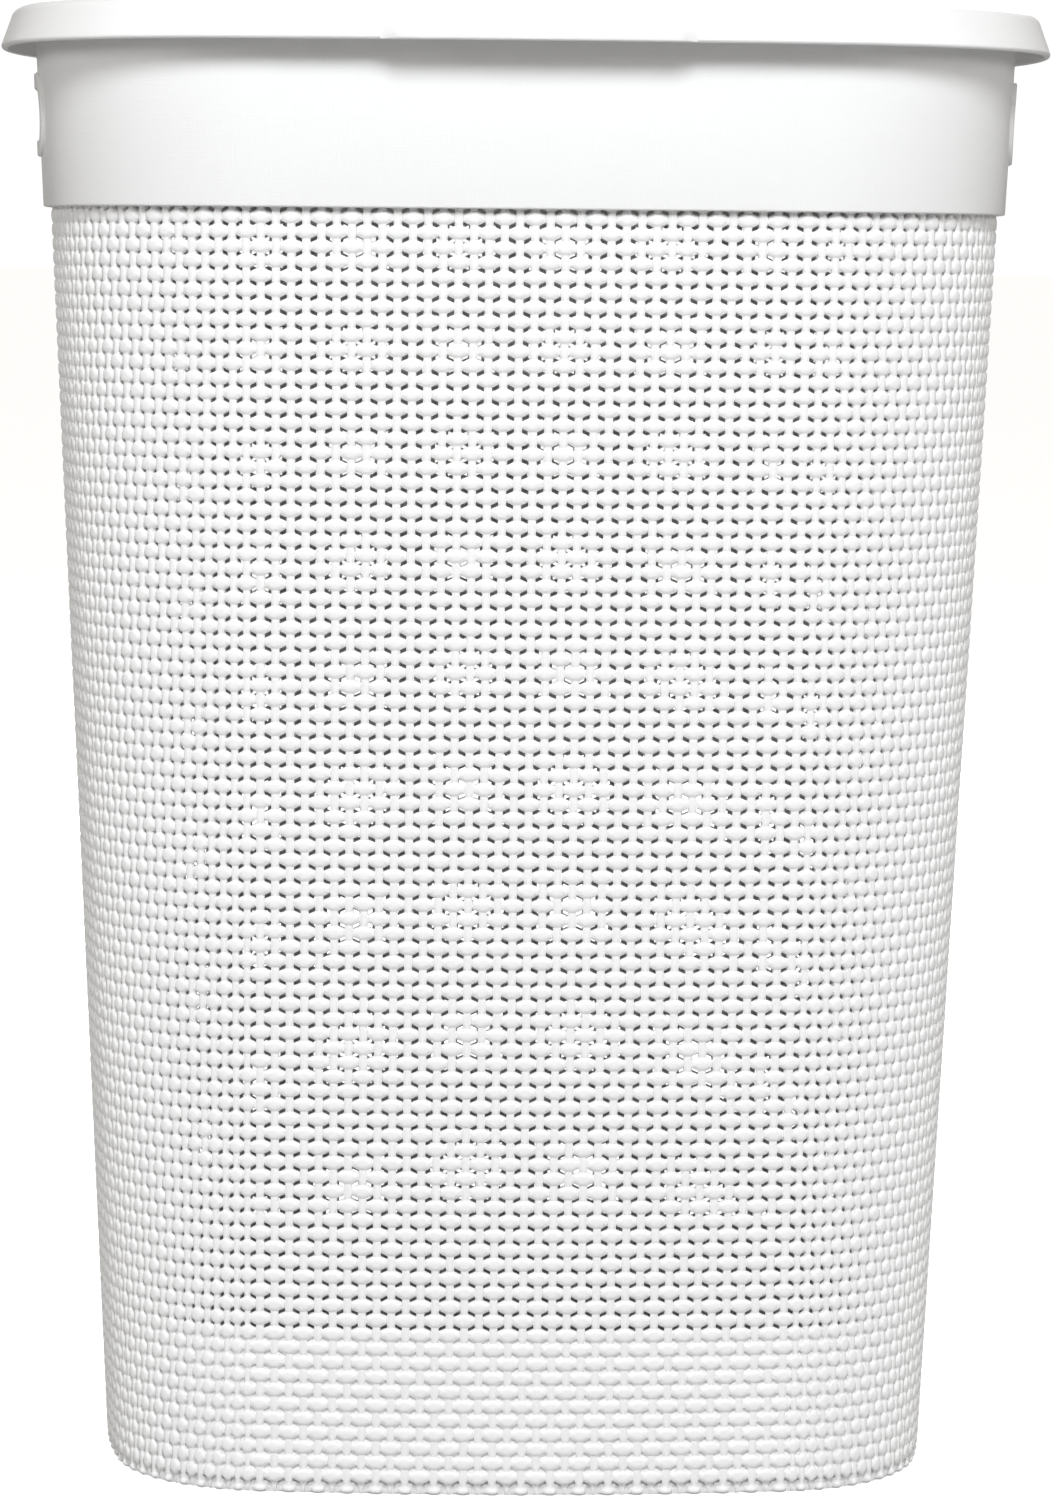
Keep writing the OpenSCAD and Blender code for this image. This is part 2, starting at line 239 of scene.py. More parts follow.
# One quarter of a cell as a lattice: rows go up from the middle of the cell,
# columns go out from it, and each entry is (across, up, height of the surface
# below the outer face). The last entry is the middle of a through hole.
BEAN = np.array([
    [(0, 0, 0), (1.35, 0, -.04), (2.5, 0, -.18), (3.35, 0, -.6)],
    [(0, 1.2, -.05), (1.3, 1.2, -.09), (2.4, 1.2, -.33), (3.25, 1.0, -.75)],
    [(0, 2.3, -.25), (1.1, 2.25, -.33), (1.6, 2.7, -1.3), (2.95, 2.1, -1.35)],
    [(0, 2.62, -.62), (1.05, 2.6, -.68), (1.55, 3.45, -1.5), (2.95, 2.9, -2.1)]])
WAIST = np.array([
    [(0, 0, -.55), (1.35, 0, -.62), (1.85, 0, -1.3), (2.55, 0, -.6)],
    [(0, 1.0, -.55), (1.35, 1.0, -.63), (1.85, .8, -1.35), (2.65, 1.0, -.75)],
    [(0, 2.85, -.58), (1.15, 2.85, -.66), (1.65, 1.5, -1.45), (2.95, 2.1, -1.35)],
    [(0, 3.175, -.62), (1.05, 3.195, -.68), (1.55, 2.345, -1.5), (2.95, 2.9, -2.1)]])
CLOSED_FLOOR = -2.3         # how deep the closed recesses are
CORNER_GROWTH = 0.5         # how much of a corner column's narrowing goes into taller beans
STEPS = 6                   # lattice steps across a cell


def weave_lattice():
    """Every lattice point of the outer face: its place, offset and height, each an array indexed by
    column step and row step."""
    a = np.arange(N_COLUMNS * STEPS + 1)
    b = np.arange(N_ROWS * STEPS + 1)
    column, row = np.minimum(a // STEPS, N_COLUMNS - 1), np.minimum(b // STEPS, N_ROWS - 1)
    da, db = a - column * STEPS - 3, b - row * STEPS - 3
    bean = (column[:, None] + row[None, :]) % 2 == 1
    table = np.where(bean[..., None], BEAN[abs(db)[None, :], abs(da)[:, None]],
                     WAIST[abs(db)[None, :], abs(da)[:, None]])
    across = np.sign(da)[:, None] * table[..., 0]
    s = column[:, None] + 0.5 + across / CELL_W
    mid_z = FIRST_ROW_Z + ROW_PITCH * (row + 0.5)
    narrow = np.clip(1 - column_pitch(s, mid_z[None, :]) / CELL_W, 0, 0.4)
    grow = 1 + CORNER_GROWTH * narrow * (abs(da)[:, None] < 2)
    up = table[..., 1]
    meet = BEAN[3, np.minimum(abs(da), 1)][:, 1][:, None]
    shrink = (ROW_PITCH - meet * grow) / (ROW_PITCH - meet)
    up = np.where(abs(da)[:, None] < 2, up * np.where(bean, grow, shrink), up)
    z = mid_z[None, :] + np.sign(db)[None, :] * up
    return s, table[..., 2] + z * SLOPE, z


# Levels of the foot below the weave, from the top down: height, then (across,
# surface) from the middle of a column outwards. Every other stake ends in a
# knot, and those between end in a short stub.
FOOT_Z = [3.3, 2.7, 2.2, 1.4, 0.6, 0.0]
KNOT = [[(0, -.5), (1.2, -.8), (1.7, -1.9), (2.95, -2.2)],
        [(0, -.5), (1.4, -.8), (2.0, -2.1), (2.95, -2.7)],
        [(0, -.2), (1.7, -.5), (2.3, -1.8), (2.95, -2.8)],
        [(0, 0), (1.8, -.2), (2.4, -1.4), (2.95, -2.8)],
        [(0, -.2), (1.7, -.5), (2.3, -1.8), (2.95, -2.8)],
        [(0, -1.1), (1.4, -1.3), (2.0, -2.1), (2.95, -2.8)]]
STUB = [[(0, -1.2), (.8, -1.5), (1.2, -2.0), (2.95, -2.2)],
        [(0, -1.4), (.7, -1.3), (1.1, -2.4), (2.95, -2.7)],
        [(0, -1.4), (.65, -1.3), (1.0, -2.5), (2.95, -2.8)],
        [(0, -1.5), (.6, -1.4), (.9, -2.6), (2.95, -2.8)],
        [(0, -1.6), (.5, -1.6), (.8, -2.6), (2.95, -2.8)],
        [(0, -1.9), (.5, -1.9), (.8, -2.7), (2.95, -2.8)]]
# The plain strip above the top row, which the band hides
HEAD_Z = [SHELL_TOP_Z - 3.5, SHELL_TOP_Z]
HEAD = [[(0, -1.2), (1.0, -1.2), (2.0, -1.2), (2.95, -1.2)]] * 2


def strip_lattice(levels, even, odd):
    """Lattice points of a strip outside the rows, as weave_lattice gives them."""
    a = np.arange(N_COLUMNS * STEPS + 1)
    column = np.minimum(a // STEPS, N_COLUMNS - 1)
    da = a - column * STEPS - 3
    even, odd = np.array(even), np.array(odd)
    table = np.where((column % 2 == 0)[:, None, None], even[:, abs(da)].transpose(1, 0, 2),
                     odd[:, abs(da)].transpose(1, 0, 2))
    s = column[:, None] + 0.5 + np.sign(da)[:, None] * table[..., 0] / CELL_W
    z = np.broadcast_to(np.array(levels, float)[None, :], s.shape)
    return s, table[..., 1] + z * SLOPE, z


def cell_triangles():
    """Triangles of one cell as [triangle, corner, (layer, a, b)]; layer 0 is outside, 1 inside and 2 the
    floor of a closed recess. Steps a and b run from -3 to 3, and the four quads from 2 to 3 are quarters of
    holes. Returns the triangles that every cell has, and each corner's own, closed and open."""
    def quad(layer, p, q, r, t, cross):
        p, q, r, t = [(layer, *x) for x in (p, q, r, t)]
        tris = [(p, q, t), (q, r, t)] if cross else [(p, q, r), (p, r, t)]
        return [x[::-1] for x in tris] if layer == 1 else tris

    shared = []
    for a in range(-3, 3):
        for b in range(-3, 3):
            if a in (-3, 2) and b in (-3, 2):
                continue
            cross = (a >= 0) == (b >= 0)
            shared += quad(0, (a, b), (a + 1, b), (a + 1, b + 1), (a, b + 1), cross)
    for (a0, a1), (b0, b1) in [((-2, 2), (-2, 2)), ((-2, 2), (2, 3)), ((-2, 2), (-3, -2)),
                               ((-3, -2), (-2, 2)), ((2, 3), (-2, 2))]:
        shared += quad(1, (a0, b0), (a1, b0), (a1, b1), (a0, b1), False)
    closed, opened = {}, {}
    for sa in (-1, 1):
        for sb in (-1, 1):
            a0, a1 = sorted((2 * sa, 3 * sa))
            b0, b1 = sorted((2 * sb, 3 * sb))
            corners = (a0, b0), (a1, b0), (a1, b1), (a0, b1)
            rim = [(2 * sa, 3 * sb), (2 * sa, 2 * sb), (3 * sa, 2 * sb)]
            if sa * sb < 0:
                rim = rim[::-1]
            opened[sa, sb], well = [[tri for p, q in zip(rim, rim[1:])
                                     for tri in (((0, *p), (0, *q), (k, *q)), ((0, *p), (k, *q), (k, *p)))]
                                    for k in (1, 2)]
            closed[sa, sb] = well + quad(2, *corners, sa == sb) + quad(1, *corners, sa == sb)
    return shared, closed, opened


def weave_triangles(first, last):
    """Triangles of the rows for columns first to last: [triangle, corner, (layer, column step, row step)]."""
    shared, closed, opened = cell_triangles()
    made = []
    for row in range(N_ROWS):
        parts = list(shared)
        for (sa, sb) in closed:
            level = row if sb < 0 else row + 1
            hole = CLOSED_ROWS <= level < N_ROWS
            parts += opened[sa, sb] if hole else closed[sa, sb]
        tile = np.array(parts)
        tile = tile + [0, 3, row * STEPS + 3]
        for column in range(first, last):
            made.append(tile + [0, column * STEPS, 0])
    return np.concatenate(made)


def strip_triangles(first, last, n_levels, below):
    """Triangles of the foot (below) or head strip, whose levels are numbered outward from the rows."""
    inner = [-3, -2, 2, 3]
    made = []
    for column in range(first, last):
        mid = column * STEPS + 3
        for level in range(n_levels):
            for a in range(-3, 3):
                p, q = (0, mid + a, level), (0, mid + a + 1, level)
                r, t = (0, mid + a + 1, level + 1), (0, mid + a, level + 1)
                made += [(p, t, q), (q, t, r)]
        end = n_levels
        for a, b in zip(inner, inner[1:]):
            p, q, r, t = (1, mid + a, 0), (1, mid + b, 0), (1, mid + b, end), (1, mid + a, end)
            made += [(p, q, t), (q, r, t)]
            outer = list(range(a, b + 1))
            made += [((0, mid + x, end), (1, mid + a, end), (0, mid + x + 1, end)) for x in outer[:-1]]
            made += [((1, mid + a, end), (1, mid + b, end), (0, mid + b, end))]
    made = np.array(made)
    return made if below else made[:, ::-1]


def weave_piece(name, first, last, lattices, parts):
    """One stretch of the wall. Its outer face takes the left half of its own texture map, and its inner face
    the right."""
    points, uvs, faces, n_before = [], [], [], 0
    for (s, offset, z), kind in zip(lattices, parts):
        tris = kind(first, last)
        layer, a, b = tris[..., 0], tris[..., 1], tris[..., 2]
        key = (layer * s.shape[0] + a) * s.shape[1] + b
        used, index = np.unique(key, return_inverse=True)
        lay, rest = np.divmod(used, s.shape[0] * s.shape[1])
        ai, bi = np.divmod(rest, s.shape[1])
        surface = np.stack([offset - z * SLOPE, np.full_like(z, -WEAVE_T), np.full_like(z, CLOSED_FLOOR)])
        off = surface[lay, ai, bi] + z[ai, bi] * SLOPE
        points.append(wall_points(s[ai, bi], off, z[ai, bi]))
        inside = (layer == 1).all(axis=1)[:, None]
        u = (s[a, b] - first + 0.5) / (last - first + 1) * 0.48
        uvs.append(np.stack([u + np.where(inside, 0.5, 0.01), 0.005 + 0.99 * z[a, b] / SHELL_TOP_Z], axis=-1))
        faces.append(index.reshape(key.shape) + n_before)
        n_before += len(used)
    points, faces, uvs = np.concatenate(points), np.concatenate(faces), np.concatenate(uvs)
    _, first_seen, same = np.unique(np.round(points / MM * 1e4).astype(np.int64), axis=0,
                                    return_index=True, return_inverse=True)
    return mesh_object(name, points[first_seen], same.reshape(-1)[faces], sharp_deg=60, uv=uvs)


def join_strip(rows, strip, edge):
    """The strip with the rows' own edge as its first level."""
    return [np.concatenate([r[:, edge][:, None], t], axis=1) for r, t in zip(rows, strip)]


def wall_runs():
    """Name and columns of each stretch of the wall: one for each arc, and two for the front and the back."""
    arc_names = [("front_left", "front_right"), ("corner_front_right",), ("side_right",),
                 ("corner_back_right",), ("back_right", "back_left"), ("corner_back_left",),
                 ("side_left",), ("corner_front_left",)]
    for names, end, count in zip(arc_names, ARC_ENDS, COLUMNS):
        middle = [end - count // 2] if len(names) == 2 else []
        cuts = [end - count, *middle, end]
        yield from zip(names, cuts, cuts[1:])


def woven_wall():
    rows = weave_lattice()
    foot = join_strip(rows, strip_lattice(FOOT_Z, KNOT, STUB), 0)
    head = join_strip(rows, strip_lattice(HEAD_Z, HEAD, HEAD), -1)
    kinds = [weave_triangles,
             lambda i, j: strip_triangles(i, j, len(FOOT_Z), True),
             lambda i, j: strip_triangles(i, j, len(HEAD_Z), False)]
    made = [weave_piece("weave_" + name, i, j, [rows, foot, head], kinds) for name, i, j in wall_runs()]
    ledge_out, ledge_in = LEDGE_SINK - WEAVE_T, -WEAVE_T - LEDGE_REACH
    made.append(carried_round("weave_ledge", [leaned(ledge_out, LEDGE_Z), leaned(ledge_out, TRAY_Z),
                                              leaned(ledge_in, TRAY_Z), leaned(ledge_in, LEDGE_Z)]))
    return made


# ---------------------------------------------------------------- smooth pieces

def softened(section, radii, steps=4):
    """A section with each corner rounded to its own radius; radii is one number or a list."""
    radii = [radii] * len(section) if isinstance(radii, (int, float)) else radii
    made = []
    for i, r in enumerate(radii):
        before, corner, after = [Vector(section[k % len(section)]) for k in (i - 1, i, i + 1)]
        u, v = (before - corner).normalized(), (after - corner).normalized()
        half = u.angle(v) / 2
        if r == 0 or half > 1.5:
            made.append(tuple(corner))
            continue
        cut = r / math.tan(half)
        mid = corner + (u + v).normalized() * (r / math.sin(half))
        start, end = (corner + u * cut - mid).normalized(), (corner + v * cut - mid).normalized()
        for k in range(steps + 1):
            made.append(tuple(mid + start.slerp(end, k / steps) * float(r)))
    return made


def stadium(length, height, steps=24):
    """Outline of a bar with round ends, about the origin: (along, up, outward along, outward up)."""
    r, straight = height / 2, (length - height) / 2
    turn = np.linspace(-math.pi / 2, math.pi / 2, steps + 1)
    right = np.stack([straight + r * np.cos(turn), r * np.sin(turn), np.cos(turn), np.sin(turn)], axis=1)
    run = np.linspace(straight, -straight, 40)[1:-1]
    top = np.stack([run, r + 0 * run, 0 * run, 1 + 0 * run], axis=1)
    half = np.concatenate([right, top])
    return np.concatenate([half, -half])


def hand_bar(side, grow):
    """A solid bar through one side wall, the shape of its hand hole grown by a margin."""
    ring = stadium(HAND_LEN, HAND_H)
    n = len(ring)
    points = [(side * x, y + grow * ny, HAND_Z + z + grow * nz)
              for x in HAND_BAR_X for y, z, ny, nz in ring]
    faces = [(i, (i + 1) % n, n + (i + 1) % n, n + i) for i in range(n)]
    faces += [tuple(range(n - 1, -1, -1)), tuple(range(n, 2 * n))]
    if side < 0:
        faces = [f[::-1] for f in faces]
    return mesh_object("bar", np.array(points) * MM, faces)


def handle_surround(name, side):
    """Sleeve and flange of a hand hole: one closed section carried round the hole and bent to the wall."""
    inner = BAND_PROUD - BAND_T - SLEEVE_REACH
    outer = BAND_PROUD + FLANGE_PROUD
    reach = SLEEVE_T + FLANGE_W
    section = softened([(0, inner), (0, outer), (reach, outer), (reach, BAND_PROUD), (SLEEVE_T, BAND_PROUD),
                        (SLEEVE_T, inner)], [.4, .9, .7, 0, 0, .4])
    ring, n = stadium(HAND_LEN, HAND_H), len(section)
    points = []
    for along, up, na, nu in ring:
        for grow, offset in section:
            y, z = along + grow * na, HAND_Z + up + grow * nu
            points.append((side * side_x(y, z * SLOPE + offset), y, z))
    m = len(ring)
    faces = [(i * n + j, i * n + (j + 1) % n, (i + 1) % m * n + (j + 1) % n, (i + 1) % m * n + j)
             for i in range(m) for j in range(n)]
    if side < 0:
        faces = [f[::-1] for f in faces]
    return mesh_object(name, np.array(points) * MM, faces)


def bored(name, x0, width, reach, bore):
    """A block along X about the hinge axis with a bore: reach gives its outline's distance at each angle."""
    steps, bevel = 96, 0.35
    turns = np.linspace(0, 2 * math.pi, steps, endpoint=False)
    rings = [(x0 + bevel, 0, bore), (x0, bevel, bore + bevel), (x0, bevel, None), (x0 + bevel, 0, None),
             (x0 + width - bevel, 0, None), (x0 + width, bevel, None), (x0 + width, bevel, bore + bevel),
             (x0 + width - bevel, 0, bore)]
    points = []
    for x, inset, r in rings:
        for t in turns:
            d = reach(t) - inset if r is None else r
            points.append((x, PIN_Y + d * math.cos(t), PIN_Z + d * math.sin(t)))
    n = len(rings)
    faces = [(i * steps + k, i * steps + (k + 1) % steps, (i + 1) % n * steps + (k + 1) % steps,
              (i + 1) % n * steps + k)[::-1] for i in range(n) for k in range(steps)]
    return mesh_object(name, np.array(points) * MM, faces)


def polygon_reach(corners):
    """How far a convex outline round the hinge axis reaches at each angle, never less than the barrel."""
    corners = [np.array(c, float) for c in corners]

    def reach(t):
        ray, best = np.array([math.cos(t), math.sin(t)]), BARREL_R
        for p, q in zip(corners, corners[1:] + corners[:1]):
            edge = q - p
            across = ray[0] * edge[1] - ray[1] * edge[0]
            if abs(across) < 1e-9:
                continue
            far = (p[0] * edge[1] - p[1] * edge[0]) / across
            along = (p[0] * ray[1] - p[1] * ray[0]) / across
            if far > 0 and -1e-9 <= along <= 1 + 1e-9:
                best = max(best, far)
        return best
    return reach


def rim_band():
    inner, hem = BAND_PROUD - BAND_T, -WEAVE_T - HEM_GAP
    rim_z = BAND_TOP_Z - RIM_T
    section = [leaned(inner, BAND_Z), leaned(BAND_PROUD, BAND_Z), leaned(BAND_PROUD, BAND_TOP_Z),
               leaned(BAND_PROUD - RIM_W, BAND_TOP_Z), leaned(BAND_PROUD - RIM_W, rim_z),
               leaned(inner, rim_z - RIM_W + BAND_T), leaned(inner, SHELL_TOP_Z + SHOULDER_T),
               leaned(hem - HEM_T, SHELL_TOP_Z + SHOULDER_T), leaned(hem - HEM_T, BAND_Z),
               leaned(hem, BAND_Z), leaned(hem, SHELL_TOP_Z), leaned(inner, SHELL_TOP_Z)]
    band = carried_round("rim_band", softened(section, [.3, .9, 1.2, 1.2, .6, 2, .8, 1, .4, .4, 0, 0]))
    combine(band, [hand_bar(side, SLEEVE_T + SLEEVE_GAP) for side in (-1, 1)], "DIFFERENCE")
    front = EAR_FRONT_Y - PIN_Y
    reach = polygon_reach([(front, -3 * BARREL_R), (BARREL_R / 2, -WEB), (BARREL_R / 2, 0),
                           (0, WEB), (front, WEB)])
    ears = []
    for side in (-1, 1):
        for end in (-1, 1):
            x = side * HINGE_X + end * (KNUCKLE_W / 2 + SIDE_GAP + EAR_W / 2)
            ears.append(bored("ear", x - EAR_W / 2, EAR_W, reach, PIN_R))
    return combine(band, ears, "UNION")


def lid_section():
    """The lid's half section, up the outside to the raised panel and back down the inside."""
    panel, margin = LID_EDGE - PANEL_INSET - PANEL_SLOPE, LID_EDGE - PANEL_INSET
    turn = (LID_EDGE - SKIRT_FLARE - EDGE_R, MARGIN_Z - EDGE_R)
    bead = arc((LID_EDGE - BEAD_R, SKIRT_Z + BEAD_R), BEAD_R, -90, 20, 10)
    outer = bead + arc(turn, EDGE_R, 12, 90, 12)
    rise = softened([outer[-1], (margin, MARGIN_Z), (panel, TOTAL_H), (panel - PANEL_SLOPE, TOTAL_H)],
                    [0, 8, 8, 0], 6)[1:]
    fall = softened([(panel - PANEL_SLOPE, TOTAL_H - LID_T), (panel, TOTAL_H - LID_T),
                     (margin, LID_UNDER_Z), turn], [0, 8, 8, 0], 6)[:-1]
    inner = arc(turn, EDGE_R - LID_T, 90, 12, 8)
    foot_r, foot = 0.4, LID_EDGE - 2 * BEAD_R
    return outer + rise + fall + inner + [(foot, SKIRT_Z + 2 * BEAD_R), (foot, SKIRT_Z + foot_r),
                                          (foot + foot_r, SKIRT_Z)]


def lid_cover():
    """Skirt, top and raised panel as one closed skin, with the rear skirt cut short for the hinges."""
    section = lid_section()
    n, m = len(section), len(STATIONS)
    top, under = [section.index(p) for p in section if abs(p[0] - min(q[0] for q in section)) < 1e-9]
    s = np.repeat(STATIONS, n)
    flat = np.tile(np.array(section, float), (m, 1))
    points = wall_points(s, flat[:, 0], flat[:, 1])
    faces = [(i * n + j, (i + 1) % m * n + j, (i + 1) % m * n + (j + 1) % n, i * n + (j + 1) % n)
             for i in range(m) for j in range(n) if j != top]
    faces.append(tuple(i * n + top for i in range(m)))
    faces.append(tuple(i * n + under for i in range(m))[::-1])
    lid = mesh_object("lid", points, faces)
    x, y0, y1, z0, z1 = NOTCH_W / 2, BASE_D / 2, BASE_D, SKIRT_Z - 1, SHORT_SKIRT_Z
    box = np.array([(sx * x, y, z) for sx in (-1, 1) for y in (y0, y1) for z in (z0, z1)])
    sides = [(0, 1, 3, 2), (4, 6, 7, 5), (0, 4, 5, 1), (2, 3, 7, 6), (0, 2, 6, 4), (1, 5, 7, 3)]
    return combine(lid, [mesh_object("notch", box * MM, sides)], "DIFFERENCE")


def finger_pull():
    """Ledge under the front edge, its ends bevelled in plan."""
    half, sunk = PULL_W / 2, LID_EDGE - 1.5 * BEAD_R
    bevel = np.linspace(-half, PULL_BEVEL - half, 9)
    straight = np.linspace(PULL_BEVEL - half, half - PULL_BEVEL, 41)
    sections = []
    for x in np.unique(np.concatenate([bevel, straight, -bevel])):
        out = max(0.05, PULL_OUT * min(1, (half - abs(x)) / PULL_BEVEL) - 0.2)
        r = min(0.8, out / 2.2)
        ring = softened([(sunk, SKIRT_Z), (LID_EDGE + out, SKIRT_Z), (LID_EDGE + out, SKIRT_Z + PULL_H),
                         (sunk, SKIRT_Z + PULL_H)], [0, r, r, 0])
        sections.append([(x, -rear_y(x, offset), z) for offset, z in ring])
    n, m = len(sections[0]), len(sections)
    points = np.array(sections).reshape(-1, 3) * MM
    faces = [(i * n + j, (i + 1) * n + j, (i + 1) * n + (j + 1) % n, i * n + (j + 1) % n)
             for i in range(m - 1) for j in range(n)]
    faces += [tuple(range(n)), tuple(range(m * n - 1, m * n - n - 1, -1))]
    return mesh_object("pull", points, faces)


def hinged_lid():
    """The lid with its finger pull, the rib that centres it in the band, and the two knuckles."""
    rib = BAND_TOP_Z * SLOPE + BAND_PROUD - RIM_W - RIB_GAP
    around = np.arange(RIB_COLUMNS[0], RIB_COLUMNS[1] + 0.01, 0.5)
    low, high = LID_UNDER_Z - RIB_H, LID_UNDER_Z + LID_T / 2
    ring = carried_round("rib", softened([(rib - RIB_T, low), (rib, low), (rib, high), (rib - RIB_T, high)],
                                         [.5, .5, 0, 0]), around, caps=True)
    top = high - PIN_Z
    reach = polygon_reach([(-WEB, 0), (WEB, 0), (WEB, top), (-WEB, top)])
    knuckles = [bored("knuckle", side * HINGE_X - KNUCKLE_W / 2, KNUCKLE_W, reach, PIN_R + PIN_CLEAR)
                for side in (-1, 1)]
    return combine(lid_cover(), [finger_pull(), ring] + knuckles, "UNION")


def base_dish():
    """Tray that closes the bottom: an upstand with a rounded foot, and a floor."""
    outer = -WEAVE_T - TRAY_GAP
    inner = outer - TRAY_WALL_T
    wall = softened([leaned(outer, TRAY_Z), leaned(outer, TRAY_TOP_Z), leaned(inner, TRAY_TOP_Z),
                     leaned(inner, TRAY_Z + TRAY_FLOOR_T)], [1.5, .6, .6, 4])
    floor = outer + TRAY_Z * SLOPE - 12
    section = wall + [(floor, TRAY_Z + TRAY_FLOOR_T), (floor, TRAY_Z)]
    n, m = len(section), len(STATIONS)
    points = wall_points(np.repeat(STATIONS, n), *np.tile(np.array(section, float), (m, 1)).T)
    faces = [(i * n + j, (i + 1) % m * n + j, (i + 1) % m * n + (j + 1) % n, i * n + (j + 1) % n)
             for i in range(m) for j in range(n) if j != n - 2]
    faces.append(tuple(i * n + n - 2 for i in range(m)))
    faces.append(tuple(i * n + n - 1 for i in range(m))[::-1])
    return mesh_object("base_dish", points, faces)


# ---------------------------------------------------------------- materials

def node(tree, kind, **inputs):
    made = tree.nodes.new(kind)
    for name, value in inputs.items():
        made.inputs[name.replace("_", " ")].default_value = value
    return made


def plastic(name, light, dark, roughness, grain_scale, grain_depth, *threads):
    """Moulded white plastic: faint cloudiness, a fine grain and a sheen that varies a little. Each thread is
    how far one layer of the grain is stretched, and two layers that cross make a linen texture."""
    mat = bpy.data.materials.new(name)
    mat.use_nodes = True
    tree = mat.node_tree
    link = tree.links.new
    shader = tree.nodes["Principled BSDF"]
    shader.inputs["IOR"].default_value = 1.49
    shader.inputs["Specular IOR Level"].default_value = 0.4
    place = tree.nodes.new("ShaderNodeTexCoord")

    cloud = node(tree, "ShaderNodeTexNoise", Scale=14.0, Detail=4.0, Roughness=0.55)
    tint = tree.nodes.new("ShaderNodeMix")
    tint.data_type = "RGBA"
    tint.inputs[6].default_value, tint.inputs[7].default_value = (*dark, 1), (*light, 1)
    link(place.outputs["Object"], cloud.inputs["Vector"])
    link(cloud.outputs["Fac"], tint.inputs[0])
    link(tint.outputs[2], shader.inputs["Base Color"])

    sheen = node(tree, "ShaderNodeMapRange")
    sheen.inputs["To Min"].default_value = roughness - 0.06
    sheen.inputs["To Max"].default_value = roughness + 0.06
    link(cloud.outputs["Fac"], sheen.inputs["Value"])
    link(sheen.outputs["Result"], shader.inputs["Roughness"])

    bump = node(tree, "ShaderNodeBump", Strength=0.5, Distance=grain_depth)
    raised = tree.nodes.new("ShaderNodeMath")
    raised.operation = "MAXIMUM"
    for i, stretch in enumerate(threads):
        scale = tree.nodes.new("ShaderNodeMapping")
        scale.inputs["Scale"].default_value = stretch
        grain = node(tree, "ShaderNodeTexNoise", Scale=grain_scale, Detail=2.0, Roughness=0.6)
        link(place.outputs["Object"], scale.inputs["Vector"])
        link(scale.outputs["Vector"], grain.inputs["Vector"])
        link(grain.outputs["Fac"], raised.inputs[i])
    link(raised.outputs["Value"], bump.inputs["Height"])
    link(bump.outputs["Normal"], shader.inputs["Normal"])
    return mat


def dress(objects, material, slot, body, *nodes):
    """Gives the objects their material, the body they ride on and the CAD nodes they replace; slot is not
    used.
    """
    for obj in objects:
        obj.data.materials.clear()
        obj.data.materials.append(material)
        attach(obj, body)
        if nodes:
            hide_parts(*nodes)


# ---------------------------------------------------------------- stage

def seen_directly(tree, seen, otherwise, data_type):
    """A mix of one value where the camera looks straight at it and another for the light that it bounces."""
    mix = tree.nodes.new("ShaderNodeMix")
    mix.data_type = data_type
    first = {"FLOAT": 2, "RGBA": 6}[data_type]
    mix.inputs[first].default_value, mix.inputs[first + 1].default_value = otherwise, seen
    tree.links.new(tree.nodes.new("ShaderNodeLightPath").outputs["Is Camera Ray"], mix.inputs[0])
    return mix.outputs[{"FLOAT": 0, "RGBA": 2}[data_type]]


def soft_light(name, place, aim, size, power, colour):
    light = bpy.data.lights.new(name, "AREA")
    light.shape, light.size, light.energy, light.color = "DISK", size, power, colour
    lamp = bpy.data.objects.new(name, light)
    lamp.location = place
    lamp.rotation_euler = (Vector(aim) - Vector(place)).to_track_quat("-Z", "Y").to_euler()
    bpy.context.scene.collection.objects.link(lamp)


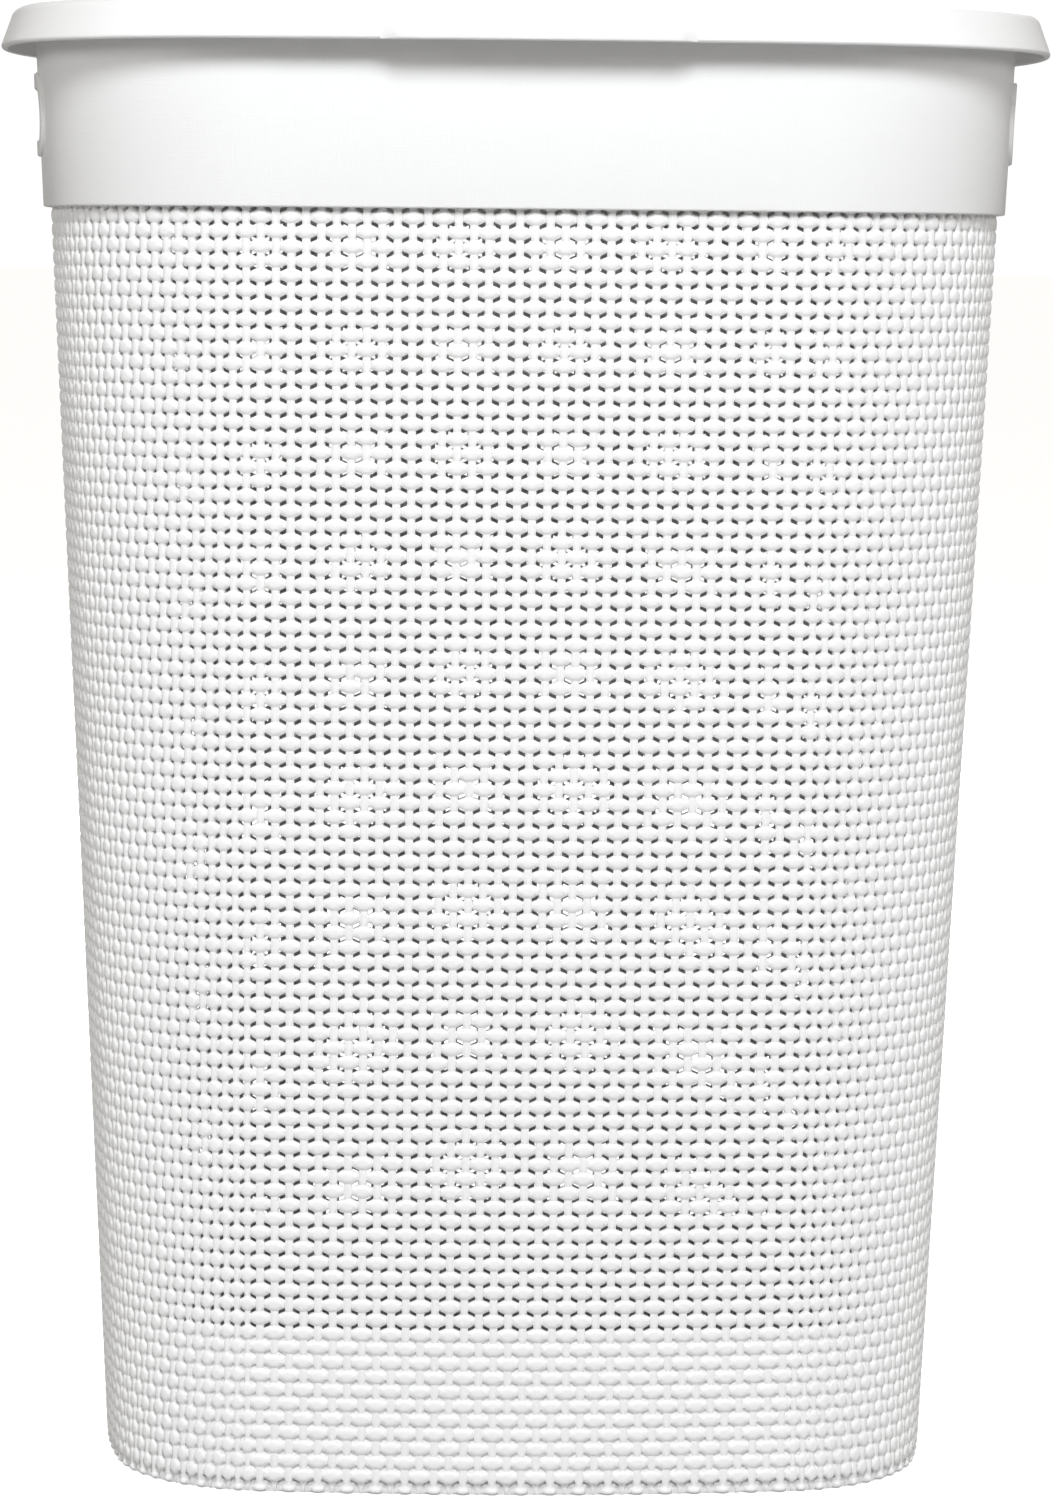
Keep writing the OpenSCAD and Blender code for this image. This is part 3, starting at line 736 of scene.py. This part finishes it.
def studio():
    """Pale floor, soft lights from the front, both sides and behind, and a dim warm fill all round."""
    bpy.ops.mesh.primitive_plane_add(size=200, location=(0, 0, -0.0004))
    floor = bpy.context.object
    floor.name = "floor"
    pale = bpy.data.materials.new("floor_pale")
    pale.use_nodes = True
    shader = pale.node_tree.nodes["Principled BSDF"]
    shader.inputs["Roughness"].default_value = 0.9
    tree = pale.node_tree
    tone = seen_directly(tree, (.95, .95, .95, 1), (.35, .35, .35, 1), "RGBA")
    tree.links.new(tone, shader.inputs["Base Color"])
    shader.inputs["Emission Color"].default_value = (1, 1, 1, 1)
    tree.links.new(seen_directly(tree, 0.75, 0.0, "FLOAT"), shader.inputs["Emission Strength"])
    floor.data.materials.append(pale)

    world = bpy.data.worlds.new("studio")
    bpy.context.scene.world = world
    world.use_nodes = True
    tree = world.node_tree
    back = tree.nodes["Background"]
    tree.links.new(seen_directly(tree, (1, 1, 1, 1), (1, .93, .85, 1), "RGBA"), back.inputs["Color"])
    tree.links.new(seen_directly(tree, 1.05, 0.26, "FLOAT"), back.inputs["Strength"])

    soft_light("key", (0.1, -2.7, 2.3), (0, 0, 0.3), 1.05, 75, (.975, 1, 1.035))
    soft_light("side_right", (2.6, -1.5, 1.5), (0, 0, 0.4), 1.2, 20, (1, 1, 1))
    soft_light("side_left", (-2.6, -1.5, 1.5), (0, 0, 0.4), 1.2, 23, (1, 1, 1))
    soft_light("behind", (0.3, 2.8, 1.9), (0, 0, 0.3), 1.6, 42, (1, 1, 1))


def camera():
    """Eye level with the top of the weave, a little to the left, framed downward with lens shift."""
    data = bpy.data.cameras.new("camera")
    data.lens, data.sensor_width, data.shift_y = 118.9, 36, -0.22
    cam = bpy.data.objects.new("camera", data)
    turn, tilt, roll = math.radians(-1.9), math.radians(2), math.radians(0.558)
    reach, height = 2.0897, 0.5002
    cam.location = (reach * math.sin(turn), -reach * math.cos(turn), height)
    aim = Vector((0.0022, 0, height - reach * math.tan(tilt)))
    look = (aim - cam.location).to_track_quat("-Z", "Y")
    cam.rotation_mode = "QUATERNION"
    cam.rotation_quaternion = look @ Quaternion((0, 0, 1), roll)
    bpy.context.scene.collection.objects.link(cam)
    bpy.context.scene.camera = cam
    bpy.context.scene.view_settings.view_transform = "Standard"


# ---------------------------------------------------------------- assembly

weave_plastic = plastic("weave_plastic", (.94, .94, .933), (.915, .915, .908), 0.5, 900, 0.00025,
                        (1, 1, 0.12), (0.3, 0.3, 1))
smooth_plastic = plastic("smooth_plastic", (.925, .925, .918), (.91, .91, .903), 0.42, 1300, 0.00022,
                         (1, 1, 0.06), (0.06, 0.06, 1))
pin_plastic = plastic("pin_plastic", (.80, .80, .79), (.77, .77, .76), 0.35, 1200, 0.00005,
                      (1, 1, 1), (0.2, 1, 1))

dress(woven_wall(), weave_plastic, "weave_plastic", "hamper", "woven_shell")
dress([rim_band()], smooth_plastic, "smooth_plastic", "hamper", "rim_collar")
dress([base_dish()], smooth_plastic, "smooth_plastic", "hamper", "base_tray")
for name, side in (("left", -1), ("right", 1)):
    surround = handle_surround("surround_" + name, side)
    dress([surround], smooth_plastic, "smooth_plastic", "hamper", "handle_surround_" + name)
dress([hinged_lid()], smooth_plastic, "smooth_plastic", "lid", "lid_shell")
for name in ("hinge_pin_left", "hinge_pin_right"):
    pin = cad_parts[name]
    pin.data.materials.clear()
    pin.data.materials.append(pin_plastic)

studio()
camera()
